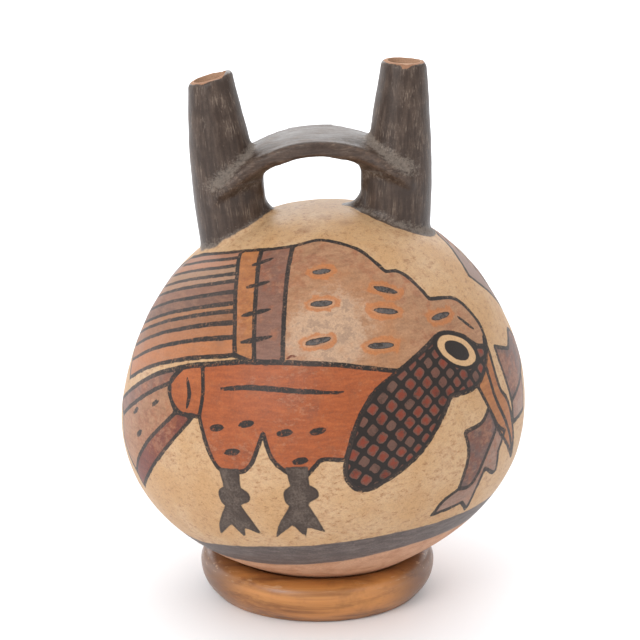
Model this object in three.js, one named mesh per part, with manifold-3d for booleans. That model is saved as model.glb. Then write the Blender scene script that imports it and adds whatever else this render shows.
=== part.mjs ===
// A double-spout and bridge vessel: a round, hollow clay pot whose two open spouts are joined by a
// flat clay strap. It leans a little in the turned wooden ring that holds up its round base.
// Millimetres, +Z up, with the ring's foot on z = 0. The spouts stand side by side along X.

import * as THREE from 'three';
import { mergeVertices } from 'three/addons/utils/BufferGeometryUtils.js';
import Module from 'manifold-3d';

// The pot's body, with heights measured from its lowest point
const bodyRadius = 76;
const bodyHeight = 142.7;
const bellyHeight = 64.2; // where the body is widest
const wall = 5;
const baseRadius = 68; // the round base is part of a ball of this radius
const baseAngle = 30; // degrees of that ball, from the lowest point out
const hipRun = 11.2; // how far the base runs on straight before it turns up
const hipRise = 33.7; // how soon the hip turns upright below the belly
const shoulderRise = 30.5; // how long the side stays upright above the belly
const crownRun = 52.9; // how far the flat of the crown reaches out

// How the pot was built and how it stands: hand-built work that is a little out of true
const crownDrift = 3.2; // the crown and spouts stand this far to one side of the belly
const lean = 5; // degrees towards -X, turned about the centre of the round base
const poleGap = 6.4; // from the ground to the pot's lowest point
const seatShift = 1.9; // the pot sits this far to +X of the ring's axis

// The spouts
const spoutRise = 51; // from the crown to the mouths
const footSpread = 31.2; // from the middle to a spout's axis at the crown
const mouthSpread = 35.4; // the same at the mouths
const spoutFootRadius = 12.4;
const footSwell = 1.3; // how much further each foot swells towards the other spout
const spoutMouthRadius = 8.3;
const taperStart = 46; // below the mouth, where the spout begins to narrow
const spoutFootWall = 4.2;
const spoutMouthWall = 2.3;
const lipRound = 0.8;
const mouthSlopes = { left: 10.5, right: 7.5 }; // degrees that each mouth falls away outwards

// The strap bridge
const strapRise = 27.8; // from the crown to the top of the strap
const strapThickness = 7;
const strapWidth = 24.8;
const strapArch = 65; // radius of the arch along its top
const edgeArch = 40; // radius of the tighter arch along its two edges
const edgeDrop = 0.6; // how much lower the edges are than the middle, at the centre
const underArch = 30; // radius of the arch beneath
const openingWidth = 36; // between the two webs under the strap
const webRound = 7; // rounding of the opening's upper corners
const webNarrowing = 0.7; // share of the strap's width that the webs lose by their feet
const strapEndPast = 4; // the strap runs this far past each spout's axis
const strapRound = 1.6;

// The wooden ring
const ringRadius = 44.5;
const ringHeight = 16.2;
const ringBulgeHeight = 10.8;
const ringFootRadius = 39.6;
const ringFootRound = 1.4;
const ringTopRadius = 37.5;
const ringBore = 22.5; // radius of the hole through it
const seatRadius = 31; // where the seat begins to fall away from the pot
const seatHeight = 14;
const seatGap = 0.3; // left between the pot and its seat

// How finely the round shapes are cut
const bodySegments = 60;
const cavitySegments = 36;
const spoutSegments = 28;
const boreSegments = 20;

const radians = THREE.MathUtils.degToRad;
const wasm = await Module();
wasm.setup();

function toSolid(geometry) {
  const bare = geometry.clone();
  bare.deleteAttribute('normal');
  bare.deleteAttribute('uv');
  const merged = mergeVertices(bare, 1e-4);
  const index = merged.index.array;
  const triangles = [];
  for (let i = 0; i < index.length; i += 3) {
    const [a, b, c] = [index[i], index[i + 1], index[i + 2]];
    if (a !== b && b !== c && c !== a) triangles.push(a, b, c);
  }
  return new wasm.Manifold(new wasm.Mesh({
    numProp: 3,
    vertProperties: new Float32Array(merged.attributes.position.array),
    triVerts: new Uint32Array(triangles),
  }));
}

function toGeometry(solid) {
  const mesh = solid.getMesh();
  const geometry = new THREE.BufferGeometry();
  geometry.setAttribute('position', new THREE.BufferAttribute(mesh.vertProperties, 3));
  geometry.setIndex(new THREE.BufferAttribute(mesh.triVerts, 1));
  geometry.computeVertexNormals();
  return geometry;
}

// Moves every vertex of a geometry by a rule that changes the point it is given
function reshape(geometry, rule) {
  const position = geometry.attributes.position;
  const point = new THREE.Vector3();
  for (let i = 0; i < position.count; i++) {
    point.fromBufferAttribute(position, i);
    rule(point);
    position.setXYZ(i, point.x, point.y, point.z);
  }
  return geometry;
}

// Turns an outline of (radius, height) points about the Z axis
function turned(outline, segments) {
  return new THREE.LatheGeometry(outline, segments).rotateX(Math.PI / 2);
}

// The body's outline from its lowest point to its crown, as (radius, height) points
function bodyOutline(divisions) {
  const angle = radians(baseAngle);
  const edge = new THREE.Vector2(baseRadius * Math.sin(angle), baseRadius * (1 - Math.cos(angle)));
  const path = new THREE.Path();
  path.absarc(0, baseRadius, baseRadius, -Math.PI / 2, angle - Math.PI / 2, false);
  path.bezierCurveTo(
    edge.x + hipRun * Math.cos(angle), edge.y + hipRun * Math.sin(angle),
    bodyRadius, bellyHeight - hipRise,
    bodyRadius, bellyHeight,
  );
  path.bezierCurveTo(
    bodyRadius, bellyHeight + shoulderRise,
    crownRun, bodyHeight,
    0, bodyHeight,
  );
  return path.getSpacedPoints(divisions);
}

// The same outline moved outwards by a distance, or inwards by a negative one
function offsetOutline(outline, distance) {
  const last = outline.length - 1;
  return outline.map((point, i) => {
    if (i === 0) return new THREE.Vector2(0, point.y - distance);
    if (i === last) return new THREE.Vector2(0, point.y + distance);
    const along = new THREE.Vector2().subVectors(outline[i + 1], outline[i - 1]).normalize();
    return new THREE.Vector2(point.x + along.y * distance, point.y - along.x * distance);
  });
}

// The height of an outline's upper half at a radius
function shoulderHeight(outline, radius) {
  let i = outline.length - 1;
  while (i > 1 && outline[i - 1].x < radius) i--;
  const [upper, lower] = [outline[i], outline[i - 1]];
  const share = (radius - upper.x) / (lower.x - upper.x);
  return THREE.MathUtils.lerp(upper.y, lower.y, share);
}

const outside = bodyOutline(24);
const inside = offsetOutline(bodyOutline(16), -wall);
const mouthHeight = bodyHeight + spoutRise;

function spoutAxis(height) {
  return THREE.MathUtils.mapLinear(height, bodyHeight, mouthHeight, footSpread, mouthSpread);
}

// Moves an upright spout on to its slanted axis and slopes its mouth down towards the outside
function placeSpout(geometry, side, slope) {
  return reshape(geometry, (point) => {
    const share = THREE.MathUtils.clamp((point.z - bodyHeight) / spoutRise, 0, 1);
    const axis = side * spoutAxis(point.z);
    point.z -= side * point.x * Math.tan(radians(slope)) * share;
    point.x += axis;
  });
}

// The foot of each spout is a little fuller on the side that faces the opening
function swellFoot(geometry, side) {
  return reshape(geometry, (point) => {
    const high = THREE.MathUtils.smoothstep(point.z, bodyHeight, bodyHeight + strapRise);
    if (side * point.x < 0) point.x *= 1 + (1 - high) * footSwell / spoutFootRadius;
  });
}

function spoutOutside(side, slope) {
  const foot = shoulderHeight(outside, footSpread + spoutFootRadius) - wall;
  const waist = mouthHeight - taperStart;
  const path = new THREE.Path();
  path.moveTo(0, foot);
  path.lineTo(spoutFootRadius, foot);
  path.lineTo(spoutFootRadius, bodyHeight);
  path.lineTo(spoutFootRadius, waist);
  path.quadraticCurveTo(
    spoutFootRadius - lipRound, mouthHeight - taperStart / 2,
    spoutMouthRadius, mouthHeight - lipRound,
  );
  path.quadraticCurveTo(spoutMouthRadius, mouthHeight, spoutMouthRadius - lipRound, mouthHeight);
  path.lineTo(0, mouthHeight);
  return placeSpout(swellFoot(turned(path.getPoints(4), spoutSegments), side), side, slope);
}

function spoutBore(side, slope) {
  const footRadius = spoutFootRadius - spoutFootWall;
  const mouthRadius = spoutMouthRadius - spoutMouthWall;
  const foot = shoulderHeight(inside, footSpread + footRadius) - wall;
  const above = mouthHeight + wall;
  const outline = [
    new THREE.Vector2(0, foot),
    new THREE.Vector2(footRadius, foot),
    new THREE.Vector2(footRadius, bodyHeight),
    new THREE.Vector2(mouthRadius, mouthHeight),
    new THREE.Vector2(mouthRadius, above),
    new THREE.Vector2(0, above),
  ];
  return placeSpout(turned(outline, boreSegments), side, slope);
}

// The strap is cut from its side view, then arched down towards its two edges
function strap() {
  const top = bodyHeight + strapRise;
  const under = top - strapThickness;
  const half = spoutAxis(top) + strapEndPast;
  const web = openingWidth / 2;
  const archDrop = (x, radius) => x * x / (2 * radius);
  const shoulder = web - webRound;
  const shoulderDepth = archDrop(shoulder, underArch);
  const webFoot = under - shoulderDepth - webRound;
  const steps = 16;
  const outline = new THREE.Shape();
  outline.moveTo(-half, webFoot);
  for (let i = 0; i <= steps; i++) {
    const x = THREE.MathUtils.lerp(-half, half, i / steps);
    outline.lineTo(x, top - archDrop(x, strapArch));
  }
  outline.lineTo(half, webFoot);
  outline.lineTo(web, webFoot);
  outline.absarc(shoulder, webFoot, webRound, 0, Math.PI / 2, false);
  for (let i = 1; i < steps / 2; i++) {
    const x = THREE.MathUtils.lerp(shoulder, -shoulder, 2 * i / steps);
    outline.lineTo(x, under - archDrop(x, underArch));
  }
  outline.absarc(-shoulder, webFoot, webRound, Math.PI / 2, Math.PI, false);
  outline.closePath();
  const geometry = new THREE.ExtrudeGeometry(outline, {
    depth: strapWidth - 2 * strapRound,
    steps: 6,
    curveSegments: 5,
    bevelThickness: strapRound,
    bevelSize: strapRound,
    bevelOffset: -strapRound,
    bevelSegments: 2,
  });
  geometry.translate(0, 0, strapRound - strapWidth / 2).rotateX(Math.PI / 2);
  return reshape(geometry, (point) => {
    const x = Math.abs(point.x);
    const across = point.y / (strapWidth / 2);
    const depth = top - archDrop(x, strapArch) - point.z;
    const intoSpout = THREE.MathUtils.smoothstep(x, half - 2 * strapEndPast, half);
    const intoWeb = THREE.MathUtils.smoothstep(depth, strapThickness / 2, 2 * strapThickness);
    const overWeb = THREE.MathUtils.smoothstep(x, shoulder, web);
    point.y *= 1 - 0.15 * intoSpout - webNarrowing * intoWeb * overWeb;
    const moreDrop = archDrop(x, edgeArch) - archDrop(x, strapArch);
    point.z -= (edgeDrop + moreDrop * (1 - intoWeb)) * across * across;
  });
}

// The upper body leans over by the crown's drift, and then the whole pot is set in its ring
function placePot(geometry) {
  reshape(geometry, (point) => {
    const aboveBelly = Math.max(0, point.z - bellyHeight);
    point.x += crownDrift * aboveBelly / (bodyHeight - bellyHeight);
  });
  geometry.translate(0, 0, -baseRadius);
  geometry.rotateY(-radians(lean));
  geometry.translate(seatShift, 0, poleGap + baseRadius);
  return geometry;
}

function vesselSolid() {
  const solids = [
    turned(outside, bodySegments),
    spoutOutside(-1, mouthSlopes.left),
    spoutOutside(1, mouthSlopes.right),
    strap(),
  ];
  const hollows = [
    turned(inside, cavitySegments),
    spoutBore(-1, mouthSlopes.left),
    spoutBore(1, mouthSlopes.right),
  ];
  const join = (list) => list.map((item) => toSolid(placePot(item))).reduce((a, b) => a.add(b));
  return join(solids).subtract(join(hollows));
}

// The ring is turned with rounded sides, and its seat is the pot's own outline with a small gap
function ringSolid() {
  const path = new THREE.Path();
  path.moveTo(ringBore, 0);
  path.lineTo(ringFootRadius - ringFootRound, 0);
  path.quadraticCurveTo(ringFootRadius, 0, ringFootRadius + ringFootRound / 2, ringFootRound);
  path.quadraticCurveTo(ringRadius, ringBulgeHeight / 2, ringRadius, ringBulgeHeight);
  path.quadraticCurveTo(ringRadius, ringHeight, ringTopRadius, ringHeight);
  path.lineTo(seatRadius, seatHeight);
  path.lineTo(ringBore, seatHeight);
  path.closePath();
  const ring = toSolid(turned(path.getPoints(4), bodySegments));
  const pot = toSolid(placePot(turned(offsetOutline(outside, seatGap), bodySegments)));
  return ring.subtract(pot);
}

const clay = new THREE.MeshStandardMaterial({ color: 0xb98a5c, roughness: 0.55, metalness: 0 });
const wood = new THREE.MeshStandardMaterial({ color: 0xa8682e, roughness: 0.35, metalness: 0 });

const object = new THREE.Group();

const vessel = new THREE.Mesh(toGeometry(vesselSolid()), clay);
vessel.name = 'vessel';
object.add(vessel);

const ringStand = new THREE.Mesh(toGeometry(ringSolid()), wood);
ringStand.name = 'ring_stand';
object.add(ringStand);

// The origin is under the middle of the whole object
const size = new THREE.Box3().setFromObject(object);
object.position.set(-(size.min.x + size.max.x) / 2, -(size.min.y + size.max.y) / 2, -size.min.z);

export default object;
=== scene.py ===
import bpy
import math
import numpy as np
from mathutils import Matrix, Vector, noise
from mathutils.bvhtree import BVHTree


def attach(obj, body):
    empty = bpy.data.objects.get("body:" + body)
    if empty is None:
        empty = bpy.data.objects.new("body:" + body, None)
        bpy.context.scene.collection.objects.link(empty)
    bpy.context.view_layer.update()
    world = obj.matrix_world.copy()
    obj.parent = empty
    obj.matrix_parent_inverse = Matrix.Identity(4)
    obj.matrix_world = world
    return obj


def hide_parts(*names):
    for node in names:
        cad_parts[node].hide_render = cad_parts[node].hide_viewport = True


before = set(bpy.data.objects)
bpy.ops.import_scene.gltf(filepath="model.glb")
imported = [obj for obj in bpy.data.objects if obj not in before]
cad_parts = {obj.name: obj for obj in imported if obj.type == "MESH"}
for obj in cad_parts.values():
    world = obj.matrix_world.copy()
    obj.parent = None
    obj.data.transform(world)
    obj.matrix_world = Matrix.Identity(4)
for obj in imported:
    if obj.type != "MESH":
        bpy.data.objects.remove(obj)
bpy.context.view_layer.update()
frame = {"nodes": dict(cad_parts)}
print("frame loaded:", ", ".join(frame["nodes"]))

mm = 0.001
scene = bpy.context.scene

# Camera
camera = {
    "tilt": 16.15,          # degrees that it looks down
    "distance": 950,        # mm from the middle of the picture
    "aim": (-1.33, 0, 105.1),
    "lens": 143.1,
}


def placeCamera():
    tilt = math.radians(camera["tilt"])
    back = Vector((0, -math.cos(tilt), math.sin(tilt)))
    place = Vector(camera["aim"]) + back * camera["distance"]
    bpy.ops.object.camera_add(location=place * mm, rotation=(math.pi / 2 - tilt, 0, 0))
    viewer = bpy.context.object
    viewer.data.lens = camera["lens"]
    viewer.data.sensor_width = 36
    viewer.data.clip_end = 20
    scene.camera = viewer


placeCamera()


# Small helpers for modelling
def only(piece):
    bpy.ops.object.select_all(action="DESELECT")
    piece.select_set(True)
    bpy.context.view_layer.objects.active = piece


def editing(on):
    bpy.ops.object.mode_set(mode="EDIT" if on else "OBJECT")


def readPoints(piece):
    points = np.empty(len(piece.data.vertices) * 3)
    piece.data.vertices.foreach_get("co", points)
    return points.reshape(-1, 3) / mm


def writePoints(piece, points):
    piece.data.vertices.foreach_set("co", (points * mm).ravel())
    piece.data.update()


def finishWith(piece, kind, **settings):
    only(piece)
    modifier = piece.modifiers.new(kind.lower(), kind)
    for key, value in settings.items():
        setattr(modifier, key, value)
    bpy.ops.object.modifier_apply(modifier=modifier.name)


# A line of points in mm, drawn by extruding one point from the last
def drawLine(name, points):
    bpy.ops.object.select_all(action="DESELECT")
    bpy.ops.mesh.primitive_plane_add(size=mm)
    piece = bpy.context.object
    piece.name = name
    editing(True)
    bpy.ops.mesh.select_all(action="SELECT")
    bpy.ops.mesh.merge(type="CENTER")
    points = [Vector(point) * mm for point in points]
    bpy.ops.transform.translate(value=points[0])
    for before, after in zip(points, points[1:]):
        bpy.ops.mesh.extrude_region_move(TRANSFORM_OT_translate={"value": after - before})
    return piece


# An outline of (radius, height) spun about the upright axis
def turn(name, outline, steps):
    piece = drawLine(name, [(radius, 0, height) for radius, height in outline])
    bpy.ops.mesh.select_all(action="SELECT")
    bpy.ops.mesh.spin(steps=steps, angle=2 * math.pi, center=(0, 0, 0), axis=(0, 0, 1))
    bpy.ops.mesh.select_all(action="SELECT")
    bpy.ops.mesh.remove_doubles(threshold=0.01 * mm)
    bpy.ops.mesh.normals_make_consistent(inside=False)
    editing(False)
    return piece


def bezier(start, startPull, endPull, end, count):
    t = np.linspace(0, 1, count)[:, None]
    a, b, c, d = (np.array(p, float) for p in (start, startPull, endPull, end))
    return (1 - t) ** 3 * a + 3 * (1 - t) ** 2 * t * b + 3 * (1 - t) * t * t * c + t ** 3 * d


def bend(start, pull, end, count):
    start, pull, end = (np.array(p, float) for p in (start, pull, end))
    return bezier(start, (start + 2 * pull) / 3, (end + 2 * pull) / 3, end, count)


def ease(value, low, high):
    t = np.clip((value - low) / (high - low), 0, 1)
    return t * t * (3 - 2 * t)


# The pot
pot = {
    "radius": 76,
    "height": 142.7,
    "belly": 64.2,          # height of the widest part
    "wall": 5,
    "baseRadius": 68,
    "baseAngle": 30,
    "hipRun": 11.2,
    "hipRise": 33.7,
    "shoulderRise": 30.5,
    "crownRun": 52.9,
    "crownDrift": 3.2,      # to +X, above the belly
    "lean": 5,              # degrees to -X
    "poleGap": 6.4,
    "seatShift": 1.9,
    "centring": -2.3295,    # of the whole object on the origin
    "voxel": 1.12,
    "unevenness": 0.45,
}
spouts = {
    "rise": 51,
    "footSpread": 31.2,
    "mouthSpread": 35.4,
    "footRadius": 12.4,
    "footSwell": 1.3,
    "mouthRadius": 8.3,
    "taper": 46,
    "footWall": 4.2,
    "mouthWall": 2.3,
    "lip": 0.8,
    "lipStub": 0.6,         # the part of the left mouth's lip that isn't worn down
    "slopes": {-1: 10.5, 1: 7.5},   # degrees that each mouth falls away
}
bridge = {              # the strap
    "rise": 27.3,
    "thickness": 6.2,
    "width": 24.8,
    "arch": 65,
    "edgeArch": 40,
    "crowning": 0.3,
    "tilt": 1.25,           # its far edge is higher than its near edge by twice this
    "hollowing": 0.6,       # of its underside
    "underArch": 30,
    "opening": 36,
    "webRound": 7,
    "endPast": 4,
    "round": 1.1,
    "footFlare": 6.5,       # each web spreads on to the crown
    "saddle": 0.2,          # how much wider the strap grows where it rides on the spouts
    "lipRise": 0.32,        # a low lip along both edges
    "lipAt": 11.7,          # mm from the strap's middle line
    "grooveAt": 8.6,        # a shallow groove inside the lip
}


def potOutline(count):
    angle = math.radians(pot["baseAngle"])
    r = pot["baseRadius"]
    turnBy = np.linspace(0, angle, count)
    base = np.stack([r * np.sin(turnBy), r - r * np.cos(turnBy)], 1)
    along = np.array([math.cos(angle), math.sin(angle)])
    widest = (pot["radius"], pot["belly"])
    hip = bezier(base[-1], base[-1] + pot["hipRun"] * along,
                 (pot["radius"], pot["belly"] - pot["hipRise"]), widest, count)
    shoulder = bezier(widest, (pot["radius"], pot["belly"] + pot["shoulderRise"]),
                      (pot["crownRun"], pot["height"]), (0, pot["height"]), 2 * count)
    return np.vstack([base, hip[1:], shoulder[1:]])


def offsetOutline(outline, distance):
    along = np.gradient(outline, axis=0)
    along /= np.linalg.norm(along, axis=1)[:, None]
    moved = outline + distance * np.stack([along[:, 1], -along[:, 0]], 1)
    moved[0] = (0, outline[0, 1] - distance)
    moved[-1] = (0, outline[-1, 1] + distance)
    return moved


# Upright pot to its place in the ring: the crown drifts to one side, and the whole pot leans
def placePot(points):
    x, y, z = points.T
    x = x + pot["crownDrift"] * np.maximum(0, z - pot["belly"]) / (pot["height"] - pot["belly"])
    z = z - pot["baseRadius"]
    lean = math.radians(-pot["lean"])
    c, s = math.cos(lean), math.sin(lean)
    return np.stack([c * x + s * z + pot["seatShift"] + pot["centring"],
                     y,
                     c * z - s * x + pot["poleGap"] + pot["baseRadius"]], 1)


def spoutAxis(height):
    share = (height - pot["height"]) / spouts["rise"]
    return spouts["footSpread"] + share * (spouts["mouthSpread"] - spouts["footSpread"])


def placeSpout(piece, side):
    x, y, z = readPoints(piece).T
    share = np.clip((z - pot["height"]) / spouts["rise"], 0, 1)
    slope = math.tan(math.radians(spouts["slopes"][side]))
    axis = side * spoutAxis(z)
    chipped = spouts["lipStub"] * ease(x, 5, 7) * share ** 8 * (side < 0)
    writePoints(piece, np.stack([x + axis, y, z - side * x * slope * share + chipped], 1))


def makeSpout(side):
    crown, mouth = pot["height"], pot["height"] + spouts["rise"]
    foot, waist = crown - 22, mouth - spouts["taper"]
    wide, narrow, lip = spouts["footRadius"], spouts["mouthRadius"], spouts["lip"]
    taper = bend((wide, waist), (wide - lip, mouth - spouts["taper"] / 2),
                 (narrow, mouth - lip), 12)
    rim = bend((narrow, mouth - lip), (narrow, mouth), (narrow - lip, mouth), 4)
    outline = np.vstack([[(0, foot), (wide, foot), (wide, crown)], taper, rim[1:], [(0, mouth)]])
    piece = turn("spout", outline, 64)
    points = readPoints(piece)
    fuller = 1 + (1 - ease(points[:, 2], crown, crown + bridge["rise"])) * spouts["footSwell"] / wide
    inner = side * points[:, 0] < 0
    points[inner, 0] *= fuller[inner]
    writePoints(piece, points)
    placeSpout(piece, side)
    return piece


def makeBore(side):
    crown, mouth = pot["height"], pot["height"] + spouts["rise"]
    wide = spouts["footRadius"] - spouts["footWall"]
    narrow = spouts["mouthRadius"] - spouts["mouthWall"]
    foot = crown - 22
    outline = [(0, foot), (wide, foot), (wide, crown), (narrow, mouth), (narrow, mouth + 5), (0, mouth + 5)]
    piece = turn("bore", outline, 48)
    placeSpout(piece, side)
    return piece


def sliceAt(place, direction):
    bpy.ops.mesh.select_all(action="SELECT")
    bpy.ops.mesh.bisect(plane_co=[part * place * mm for part in direction], plane_no=direction)


# How far an arch has fallen at a distance from its top
def drop(x, radius):
    return x * x / (2 * radius)


# The strap's top, the height where its webs turn upright, and its reach to each side
def strapLevels():
    top = pot["height"] + bridge["rise"]
    shoulder = bridge["opening"] / 2 - bridge["webRound"]
    foot = top - bridge["thickness"] - drop(shoulder, bridge["underArch"]) - bridge["webRound"]
    return top, foot, spoutAxis(top) + bridge["endPast"]


def strapSideView():
    top, foot, half = strapLevels()
    under = top - bridge["thickness"]
    web, corner = bridge["opening"] / 2, bridge["webRound"]
    shoulder = web - corner
    upper = [(x, top - drop(x, bridge["arch"])) for x in np.linspace(-half, half, 25)]
    quarter = np.linspace(0, math.pi / 2, 7)
    right = [(shoulder + corner * math.cos(a), foot + corner * math.sin(a)) for a in quarter]
    belowStrap = [(x, under - drop(x, bridge["underArch"]))
                  for x in np.linspace(shoulder, -shoulder, 13)]
    left = [(-x, z) for x, z in reversed(right)]
    flare, ground = bridge["footFlare"], pot["height"] - 0.6
    rightFoot = [(web - flare + flare * math.sin(a), ground + flare - flare * math.cos(a))
                 for a in quarter[:-1]]
    leftFoot = [(-x, z) for x, z in reversed(rightFoot)]
    sunk = ground - 8
    return (upper + [(half, sunk), (web - flare, sunk)] + rightFoot + right + belowStrap[1:-1] +
            left + leftFoot + [(flare - web, sunk), (-half, sunk)])


# The strap's side view is drawn, filled and pulled out sideways, then arched down to its edges
def makeStrap():
    top, foot, _ = strapLevels()
    depth = bridge["width"]
    piece = drawLine("strap", [(x, -depth / 2, z) for x, z in strapSideView()])
    bpy.ops.mesh.select_all(action="SELECT")
    bpy.ops.mesh.edge_face_add()
    steps = 8
    for step in range(steps):
        bpy.ops.mesh.extrude_region_move(TRANSFORM_OT_translate={"value": (0, depth / steps * mm, 0)})
    bpy.ops.mesh.select_all(action="SELECT")
    bpy.ops.mesh.normals_make_consistent(inside=False)
    bpy.ops.mesh.select_all(action="DESELECT")
    editing(False)
    for edge in piece.data.edges:
        a, b = (piece.data.vertices[i].co.y / mm for i in edge.vertices)
        edge.select = abs(abs(a) - depth / 2) < 0.01 and abs(a - b) < 0.01
    editing(True)
    bpy.ops.mesh.bevel(offset=bridge["round"] * mm, segments=2, affect="EDGES")
    for height in np.arange(foot - 9, top, 2.5):
        sliceAt(height, (0, 0, 1))
    for place in (-30, -26, -22, -18, -14, 14, 18, 22, 26, 30):
        sliceAt(place, (1, 0, 0))
    bpy.ops.mesh.select_all(action="SELECT")
    bpy.ops.mesh.quads_convert_to_tris()
    editing(False)
    writePoints(piece, archStrap(readPoints(piece)))
    return piece


def archStrap(points):
    top, _, half = strapLevels()
    x, y, z = np.abs(points[:, 0]), points[:, 1], points[:, 2]
    across = y / (bridge["width"] / 2)
    deep = top - drop(x, bridge["arch"]) - z
    intoSpout = ease(x, half - 5, half)
    intoWeb, intoFoot = ease(deep, 3, 13), ease(deep, 13, 21)
    underStrap = np.interp(x, [8, 14, 18, 22, 28], [0, 0.35, 0.5, 0.32, 0.04])
    atFoot = np.interp(x, [10.5, 14, 18, 23, 28], [0.94, 0.86, 0.72, 0.4, 0.08])
    saddle = bridge["saddle"] * ease(x, 17, 29) * (1 - intoWeb) - 0.2 * intoSpout
    points[:, 1] = y * (1 + saddle - underStrap * intoWeb * (1 - intoFoot) - atFoot * intoFoot)
    moreDrop = drop(x, bridge["edgeArch"]) - drop(x, bridge["arch"])
    edge = np.abs(points[:, 1])
    ridge = np.exp(-((edge - bridge["lipAt"]) / 1.0) ** 2)
    groove = np.exp(-((edge - bridge["grooveAt"]) / 1.3) ** 2)
    lip = bridge["lipRise"] * (1 + 1.4 * ease(x, 19, 27)) * (ridge - 0.6 * groove)
    under = ease(deep, 0, bridge["thickness"])
    upperSide = bridge["tilt"] * across - bridge["crowning"] * across ** 2 + lip * (1 - ease(deep, 0.5, 3))
    underSide = bridge["tilt"] * across * (1 - intoWeb) + bridge["hollowing"] * across ** 2
    points[:, 2] = (z + (1 - under) * upperSide + under * underSide * (1 - intoFoot) -
                    moreDrop * (1 - intoWeb) * across ** 2)
    return points


def nearestTo(piece):
    corners = [vertex.co.copy() for vertex in piece.data.vertices]
    tree = BVHTree.FromPolygons(corners, [tuple(face.vertices) for face in piece.data.polygons])
    return lambda points: np.array([tree.find_nearest(Vector(p) * mm)[3] for p in points]) / mm


def weighPoints(piece, name, weights):
    group = piece.vertex_groups.new(name=name)
    levels = np.round(weights, 2)
    for level in np.unique(levels[levels > 0]):
        group.add(np.flatnonzero(levels == level).tolist(), float(level), "REPLACE")


def joinPieces(first, *others):
    only(first)
    for other in others:
        other.select_set(True)
    bpy.ops.object.join()
    return first


def cutAway(piece, cutter):
    finishWith(piece, "BOOLEAN", operation="DIFFERENCE", solver="EXACT", object=cutter)
    bpy.data.objects.remove(cutter)


# The hand's unevenness: the surface swells and dips a little, but not where it sits in the ring
def roughenByHand(piece):
    points = readPoints(piece)
    outwards = np.empty(points.size)
    piece.data.vertices.foreach_get("normal", outwards)
    swell = np.array([noise.noise(Vector(p) * 0.035) + 0.35 * noise.noise(Vector(p) * 0.13)
                      for p in points])
    depth = pot["unevenness"] * ease(points[:, 2], 32, 50)
    writePoints(piece, points + outwards.reshape(-1, 3) * (swell * depth)[:, None])


def makeVessel():
    outline = potOutline(40)
    vessel = turn("vessel_clay", outline, 180)
    left, right, strap = makeSpout(-1), makeSpout(1), makeStrap()
    awayFrom = {"body": nearestTo(vessel), "left": nearestTo(left), "right": nearestTo(right),
                "strap": nearestTo(strap)}
    joinPieces(vessel, left, right, strap)
    finishWith(vessel, "REMESH", mode="VOXEL", voxel_size=pot["voxel"] * mm)
    print("clay joined:", len(vessel.data.polygons), "faces")
    points = readPoints(vessel)
    high = points[:, 2] > 118
    gaps = {key: np.full(len(points), 99.0) for key in awayFrom}
    for key, gapTo in awayFrom.items():
        gaps[key][high] = gapTo(points[high])
    spoutGap = np.minimum(gaps["left"], gaps["right"])
    atCrown = np.maximum(gaps["body"], np.minimum(spoutGap, gaps["strap"]))
    atBridge = np.maximum(spoutGap, gaps["strap"])
    blend = np.maximum(1 - ease(atCrown, 1.5, 5), 0.15 * (1 - ease(atBridge, 0.8, 2.5)))
    weighPoints(vessel, "joins", blend)
    finishWith(vessel, "SMOOTH", factor=0.5, iterations=2)
    finishWith(vessel, "SMOOTH", factor=0.5, iterations=22, vertex_group="joins")
    roughenByHand(vessel)
    inside = offsetOutline(potOutline(14), -pot["wall"])
    cutAway(vessel, turn("hollow", inside, 48))
    cutAway(vessel, makeBore(-1))
    cutAway(vessel, makeBore(1))
    print("clay hollowed:", len(vessel.data.polygons), "faces")
    return vessel, awayFrom


vessel, awayFrom = makeVessel()

# Painting
# Shapes are drawn on the upright pot as (degrees, height in mm): 0 faces -Y and degrees grow towards +X.
# A shape is one or more strokes, each a smooth curve, that meet at corners.
paints = {
    "cream": (214, 178, 138),
    "tan": (184, 137, 101),
    "halo": (192, 118, 64),
    "orange": (184, 118, 66),
    "plum": (140, 99, 82),
    "brick": (178, 92, 46),
    "rust": (182, 98, 50),
    "maroon": (124, 62, 48),
    "sand": (178, 130, 96),
    "mauve": (164, 130, 112),
    "dusk": (114, 86, 78),
    "ink": (36, 25, 19),
    "slate": (70, 55, 46),
    "clay": (212, 162, 128),
    "umber": (64, 49, 40),
    "biscuitLitInside": (212, 172, 142),
    "dustAndSheen": (162, 150, 138),
    "tip": (158, 130, 118),
}
stripePaints = [(168, 114, 86), (178, 122, 90), (164, 126, 96), (166, 126, 98), (136, 92, 71),
                (116, 79, 62), (164, 110, 70), (146, 96, 63), (172, 110, 69), (184, 116, 71)]

wingTop = [(-48, 134), (-65, 132), (-77, 130), (-90, 127)]
wingFoot = [(-78, 87), (-62, 96), (-45, 102), (-27, 105)]
barOne = [(-27, 105), (-31, 117), (-38, 127), (-48, 134)]
barTwo = [(-20, 103), (-23, 117), (-27, 127), (-34, 135)]
barThree = [(-11, 103), (-12, 120), (-14, 136)]
bellyTop = [(-38, 101), (-25, 103), (-11, 103), (6, 101), (24, 96)]
pouchLeft = [(24, 96), (16, 91), (10, 82), (6, 69)]
aboveEye = [(24, 96), (34, 101), (42, 104), (50, 101), (55, 96), (60, 94)]
rumpEdge = [(-38, 101), (-36, 92), (-36, 84)]
beakMiddle = [(56, 88), (57, 76), (61, 65), (67, 49)]
tailLine = [(-50, 93), (-60, 87), (-79, 73)]
tailRed = [(-68, 55), (-58, 69), (-45, 84)]
fishLine = [(40, 48), (45, 48), (51, 59), (56, 66)]


def back(points):
    return points[::-1]


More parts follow.
